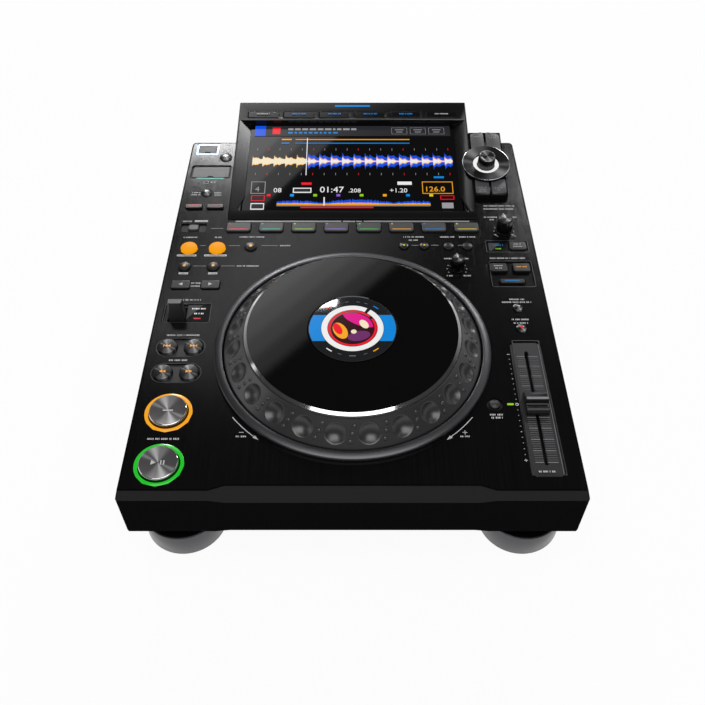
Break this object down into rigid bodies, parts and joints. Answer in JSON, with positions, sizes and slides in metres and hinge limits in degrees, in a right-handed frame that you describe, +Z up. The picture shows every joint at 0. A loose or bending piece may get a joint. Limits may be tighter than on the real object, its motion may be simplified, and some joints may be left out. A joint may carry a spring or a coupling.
{
  "type": "tabletop dj media player",
  "caption": "Tabletop deck-style media player on four round feet, with a large turning jog wheel, a tilted touch display, a tempo slider, a selector dial, a direction lever, knobs and keys.",
  "frame": {"origin": "on the table under the middle of the player, at the bottom centre of its bounding box", "axes": "+X to the player's right, +Y from the front edge to the rear, +Z up"},
  "size_m": [0.329, 0.453, 0.118],
  "materials": {
    "case_plastic": "fine satin texture",
    "brushed_panel": "brushed front to back",
    "board": "green solder mask",
    "inner_metal": "plain sheet and turned bar",
    "foot_metal": "turned and brushed",
    "ring_metal": "satin",
    "wheel_plastic": "soft matte",
    "gloss_black": "polished",
    "display_glass": "clear over a lit picture",
    "spun_metal": "spun with a polished edge",
    "key_black": "satin",
    "key_grey": "satin",
    "key_orange": "lit from inside",
    "key_red": "lit from inside",
    "plate_paint": "fine satin paint"
  },
  "bodies": {
    "player": {"lower_case": "case_plastic", "top_panel": "brushed_panel", "rear_panel": "case_plastic", "main_board": "board", "socket_board": "board", "power_supply": "inner_metal", "foot_front_left": "foot_metal", "foot_front_right": "foot_metal", "foot_rear_left": "foot_metal", "foot_rear_right": "foot_metal", "jog_trim_ring": "ring_metal", "jog_display": "display_glass", "display_housing": "gloss_black", "display_panel": "display_glass", "selector_housing": "gloss_black", "fader_plate": "plate_paint"},
    "jog": {"jog_wheel": "wheel_plastic", "jog_plate": "gloss_black"},
    "selector_shaft": {"selector_shaft": "inner_metal"},
    "selector_knob": {"selector_knob": "spun_metal"},
    "display_keys_1": {"display_keys_1": "gloss_black"},
    "display_keys_2": {"display_keys_2": "gloss_black"},
    "display_keys_3": {"display_keys_3": "gloss_black"},
    "selector_rear_keys": {"selector_rear_keys": "key_grey"},
    "selector_front_keys": {"selector_front_keys": "key_grey"},
    "usb_stop_key": {"usb_stop_key": "gloss_black"},
    "time_mode_key": {"time_mode_key": "gloss_black"},
    "call_delete_key": {"call_delete_key": "key_black"},
    "loop_in_key": {"loop_in_key": "key_orange"},
    "loop_out_key": {"loop_out_key": "key_orange"},
    "reloop_key": {"reloop_key": "key_black"},
    "cue_key": {"cue_key": "spun_metal"},
    "play_pause_key": {"play_pause_key": "spun_metal"},
    "jog_mode_key": {"jog_mode_key": "key_black"},
    "key_sync_key": {"key_sync_key": "key_black"},
    "tempo_reset_key": {"tempo_reset_key": "key_black"},
    "hot_cue_key_1": {"hot_cue_key_1": "key_black"},
    "hot_cue_key_2": {"hot_cue_key_2": "key_black"},
    "hot_cue_key_3": {"hot_cue_key_3": "key_black"},
    "hot_cue_key_4": {"hot_cue_key_4": "key_black"},
    "hot_cue_key_5": {"hot_cue_key_5": "key_black"},
    "hot_cue_key_6": {"hot_cue_key_6": "key_black"},
    "hot_cue_key_7": {"hot_cue_key_7": "key_black"},
    "hot_cue_key_8": {"hot_cue_key_8": "key_black"},
    "quantize_slip_keys": {"quantize_slip_keys": "key_red"},
    "beat_loop_keys": {"beat_loop_keys": "key_black"},
    "beat_jump_keys": {"beat_jump_keys": "key_black"},
    "track_search_keys": {"track_search_keys": "spun_metal"},
    "search_keys": {"search_keys": "spun_metal"},
    "sync_master_keys": {"sync_master_keys": "key_black"},
    "tempo_range_keys": {"tempo_range_keys": "key_black"},
    "delete_memory_keys": {"delete_memory_keys": "key_black"},
    "loop_call_keys": {"loop_call_keys": "key_black"},
    "direction_lever": {"direction_lever": "key_black"},
    "tempo_fader": {"tempo_fader": "key_black"},
    "vinyl_speed_knob": {"vinyl_speed_knob": "gloss_black"},
    "jog_adjust_knob": {"jog_adjust_knob": "gloss_black"},
    "usb_lid": {"usb_lid": "key_grey"},
    "sd_door": {"sd_door": "key_grey"},
    "power_key": {"power_key": "key_black"}
  },
  "joints": [
    {"name": "jog_turn", "type": "hinge", "parent": "player", "child": "jog", "pos_m": [0, -0.0885, 0], "axis": [0, 0, 1], "continuous": true},
    {"name": "selector_press", "type": "slide", "parent": "player", "child": "selector_shaft", "axis": [0, 0.1582, -0.9874], "range_m": [0, 0.0008], "stiffness_N_per_m": 600, "springref_m": -0.002},
    {"name": "selector_turn", "type": "hinge", "parent": "selector_shaft", "child": "selector_knob", "pos_m": [0.1291, 0.13784, 0.10379], "axis": [0, -0.1582, 0.9874], "continuous": true},
    {"name": "display_keys_1_rock", "type": "hinge", "parent": "player", "child": "display_keys_1", "pos_m": [-0.0722, 0.20876, 0.1106], "axis": [0, 0.9874, 0.1582], "range_deg": [-1.2, 1.2], "stiffness_Nm_per_rad": 1},
    {"name": "display_keys_2_rock", "type": "hinge", "parent": "player", "child": "display_keys_2", "pos_m": [0, 0.20876, 0.1106], "axis": [0, 0.9874, 0.1582], "range_deg": [-1.2, 1.2], "stiffness_Nm_per_rad": 1},
    {"name": "display_keys_3_rock", "type": "hinge", "parent": "player", "child": "display_keys_3", "pos_m": [0.0722, 0.20876, 0.1106], "axis": [0, 0.9874, 0.1582], "range_deg": [-1.2, 1.2], "stiffness_Nm_per_rad": 1},
    {"name": "selector_rear_keys_rock", "type": "hinge", "parent": "player", "child": "selector_rear_keys", "pos_m": [0.13175, 0.17106, 0.10506], "axis": [0, 0.9874, 0.1582], "range_deg": [-2.5, 2.5], "stiffness_Nm_per_rad": 0.5},
    {"name": "selector_front_keys_rock", "type": "hinge", "parent": "player", "child": "selector_front_keys", "pos_m": [0.13175, 0.10905, 0.09513], "axis": [0, 0.9874, 0.1582], "range_deg": [-2.5, 2.5], "stiffness_Nm_per_rad": 0.5},
    {"name": "usb_stop_press", "type": "slide", "parent": "player", "child": "usb_stop_key", "axis": [0, 0, -1], "range_m": [0, 0.0008], "stiffness_N_per_m": 400, "springref_m": -0.001},
    {"name": "time_mode_press", "type": "slide", "parent": "player", "child": "time_mode_key", "axis": [0, 0, -1], "range_m": [0, 0.0008], "stiffness_N_per_m": 400, "springref_m": -0.001},
    {"name": "call_delete_press", "type": "slide", "parent": "player", "child": "call_delete_key", "axis": [0, 0, -1], "range_m": [0, 0.0008], "stiffness_N_per_m": 400, "springref_m": -0.001},
    {"name": "loop_in_press", "type": "slide", "parent": "player", "child": "loop_in_key", "axis": [0, 0, -1], "range_m": [0, 0.0008], "stiffness_N_per_m": 400, "springref_m": -0.001},
    {"name": "loop_out_press", "type": "slide", "parent": "player", "child": "loop_out_key", "axis": [0, 0, -1], "range_m": [0, 0.0008], "stiffness_N_per_m": 400, "springref_m": -0.001},
    {"name": "reloop_press", "type": "slide", "parent": "player", "child": "reloop_key", "axis": [0, 0, -1], "range_m": [0, 0.0008], "stiffness_N_per_m": 400, "springref_m": -0.001},
    {"name": "cue_press", "type": "slide", "parent": "player", "child": "cue_key", "axis": [0, 0, -1], "range_m": [0, 0.001], "stiffness_N_per_m": 600, "springref_m": -0.002},
    {"name": "play_pause_press", "type": "slide", "parent": "player", "child": "play_pause_key", "axis": [0, 0, -1], "range_m": [0, 0.001], "stiffness_N_per_m": 600, "springref_m": -0.002},
    {"name": "jog_mode_press", "type": "slide", "parent": "player", "child": "jog_mode_key", "axis": [0, 0, -1], "range_m": [0, 0.0008], "stiffness_N_per_m": 400, "springref_m": -0.001},
    {"name": "key_sync_press", "type": "slide", "parent": "player", "child": "key_sync_key", "axis": [0, 0, -1], "range_m": [0, 0.0008], "stiffness_N_per_m": 400, "springref_m": -0.001},
    {"name": "tempo_reset_press", "type": "slide", "parent": "player", "child": "tempo_reset_key", "axis": [0, 0, -1], "range_m": [0, 0.0008], "stiffness_N_per_m": 400, "springref_m": -0.001},
    {"name": "hot_cue_1_press", "type": "slide", "parent": "player", "child": "hot_cue_key_1", "axis": [0, 0, -1], "range_m": [0, 0.0008], "stiffness_N_per_m": 400, "springref_m": -0.001},
    {"name": "hot_cue_2_press", "type": "slide", "parent": "player", "child": "hot_cue_key_2", "axis": [0, 0, -1], "range_m": [0, 0.0008], "stiffness_N_per_m": 400, "springref_m": -0.001},
    {"name": "hot_cue_3_press", "type": "slide", "parent": "player", "child": "hot_cue_key_3", "axis": [0, 0, -1], "range_m": [0, 0.0008], "stiffness_N_per_m": 400, "springref_m": -0.001},
    {"name": "hot_cue_4_press", "type": "slide", "parent": "player", "child": "hot_cue_key_4", "axis": [0, 0, -1], "range_m": [0, 0.0008], "stiffness_N_per_m": 400, "springref_m": -0.001},
    {"name": "hot_cue_5_press", "type": "slide", "parent": "player", "child": "hot_cue_key_5", "axis": [0, 0, -1], "range_m": [0, 0.0008], "stiffness_N_per_m": 400, "springref_m": -0.001},
    {"name": "hot_cue_6_press", "type": "slide", "parent": "player", "child": "hot_cue_key_6", "axis": [0, 0, -1], "range_m": [0, 0.0008], "stiffness_N_per_m": 400, "springref_m": -0.001},
    {"name": "hot_cue_7_press", "type": "slide", "parent": "player", "child": "hot_cue_key_7", "axis": [0, 0, -1], "range_m": [0, 0.0008], "stiffness_N_per_m": 400, "springref_m": -0.001},
    {"name": "hot_cue_8_press", "type": "slide", "parent": "player", "child": "hot_cue_key_8", "axis": [0, 0, -1], "range_m": [0, 0.0008], "stiffness_N_per_m": 400, "springref_m": -0.001},
    {"name": "quantize_slip_rock", "type": "hinge", "parent": "player", "child": "quantize_slip_keys", "pos_m": [-0.13902, 0.08842, 0.085], "axis": [0, 1, 0], "range_deg": [-2.5, 2.5], "stiffness_Nm_per_rad": 0.5},
    {"name": "beat_loop_rock", "type": "hinge", "parent": "player", "child": "beat_loop_keys", "pos_m": [-0.1343, 0.0058, 0.085], "axis": [0, 1, 0], "range_deg": [-2.2, 2.2], "stiffness_Nm_per_rad": 0.5},
    {"name": "beat_jump_rock", "type": "hinge", "parent": "player", "child": "beat_jump_keys", "pos_m": [-0.1342, -0.0172, 0.085], "axis": [0, 1, 0], "range_deg": [-2.2, 2.2], "stiffness_Nm_per_rad": 0.5},
    {"name": "track_search_rock", "type": "hinge", "parent": "player", "child": "track_search_keys", "pos_m": [-0.1371, -0.08838, 0.085], "axis": [0, 1, 0], "range_deg": [-2.5, 2.5], "stiffness_Nm_per_rad": 0.5},
    {"name": "search_rock", "type": "hinge", "parent": "player", "child": "search_keys", "pos_m": [-0.1371, -0.115, 0.085], "axis": [0, 1, 0], "range_deg": [-2.5, 2.5], "stiffness_Nm_per_rad": 0.5},
    {"name": "sync_master_rock", "type": "hinge", "parent": "player", "child": "sync_master_keys", "pos_m": [0.1374, 0.0043, 0.085], "axis": [0, 1, 0], "range_deg": [-2.5, 2.5], "stiffness_Nm_per_rad": 0.5},
    {"name": "tempo_range_rock", "type": "hinge", "parent": "player", "child": "tempo_range_keys", "pos_m": [0.13754, -0.0563, 0.085], "axis": [1, 0, 0], "range_deg": [-2.4, 2.4], "stiffness_Nm_per_rad": 0.5},
    {"name": "delete_memory_rock", "type": "hinge", "parent": "player", "child": "delete_memory_keys", "pos_m": [0.09445, 0.03226, 0.085], "axis": [0, 1, 0], "range_deg": [-3, 3], "stiffness_Nm_per_rad": 0.5},
    {"name": "loop_call_rock", "type": "hinge", "parent": "player", "child": "loop_call_keys", "pos_m": [0.05515, 0.03272, 0.085], "axis": [0, 1, 0], "range_deg": [-3, 3], "stiffness_Nm_per_rad": 0.5},
    {"name": "direction_rock", "type": "hinge", "parent": "player", "child": "direction_lever", "pos_m": [-0.1447, -0.0524, 0.086], "axis": [1, 0, 0], "range_deg": [-8, 8]},
    {"name": "tempo_slide", "type": "slide", "parent": "player", "child": "tempo_fader", "axis": [0, 1, 0], "range_m": [-0.05, 0.05]},
    {"name": "vinyl_speed_turn", "type": "hinge", "parent": "player", "child": "vinyl_speed_knob", "pos_m": [0.1381, 0.054, 0.092], "axis": [0, 0, 1], "range_deg": [-150, 150]},
    {"name": "jog_adjust_turn", "type": "hinge", "parent": "player", "child": "jog_adjust_knob", "pos_m": [0.0911, 0.0035, 0.092], "axis": [0, 0, 1], "range_deg": [-150, 150]},
    {"name": "usb_lid_hinge", "type": "hinge", "parent": "player", "child": "usb_lid", "pos_m": [-0.1468, 0.1876, 0.091], "axis": [-1, 0, 0], "range_deg": [0, 85]},
    {"name": "sd_door_hinge", "type": "hinge", "parent": "player", "child": "sd_door", "pos_m": [-0.1393, 0.1514, 0.091], "axis": [-1, 0, 0], "range_deg": [0, 85]},
    {"name": "power_press", "type": "slide", "parent": "player", "child": "power_key", "axis": [0, -1, 0], "range_m": [0, 0.0015], "stiffness_N_per_m": 600, "springref_m": -0.001}
  ]
}
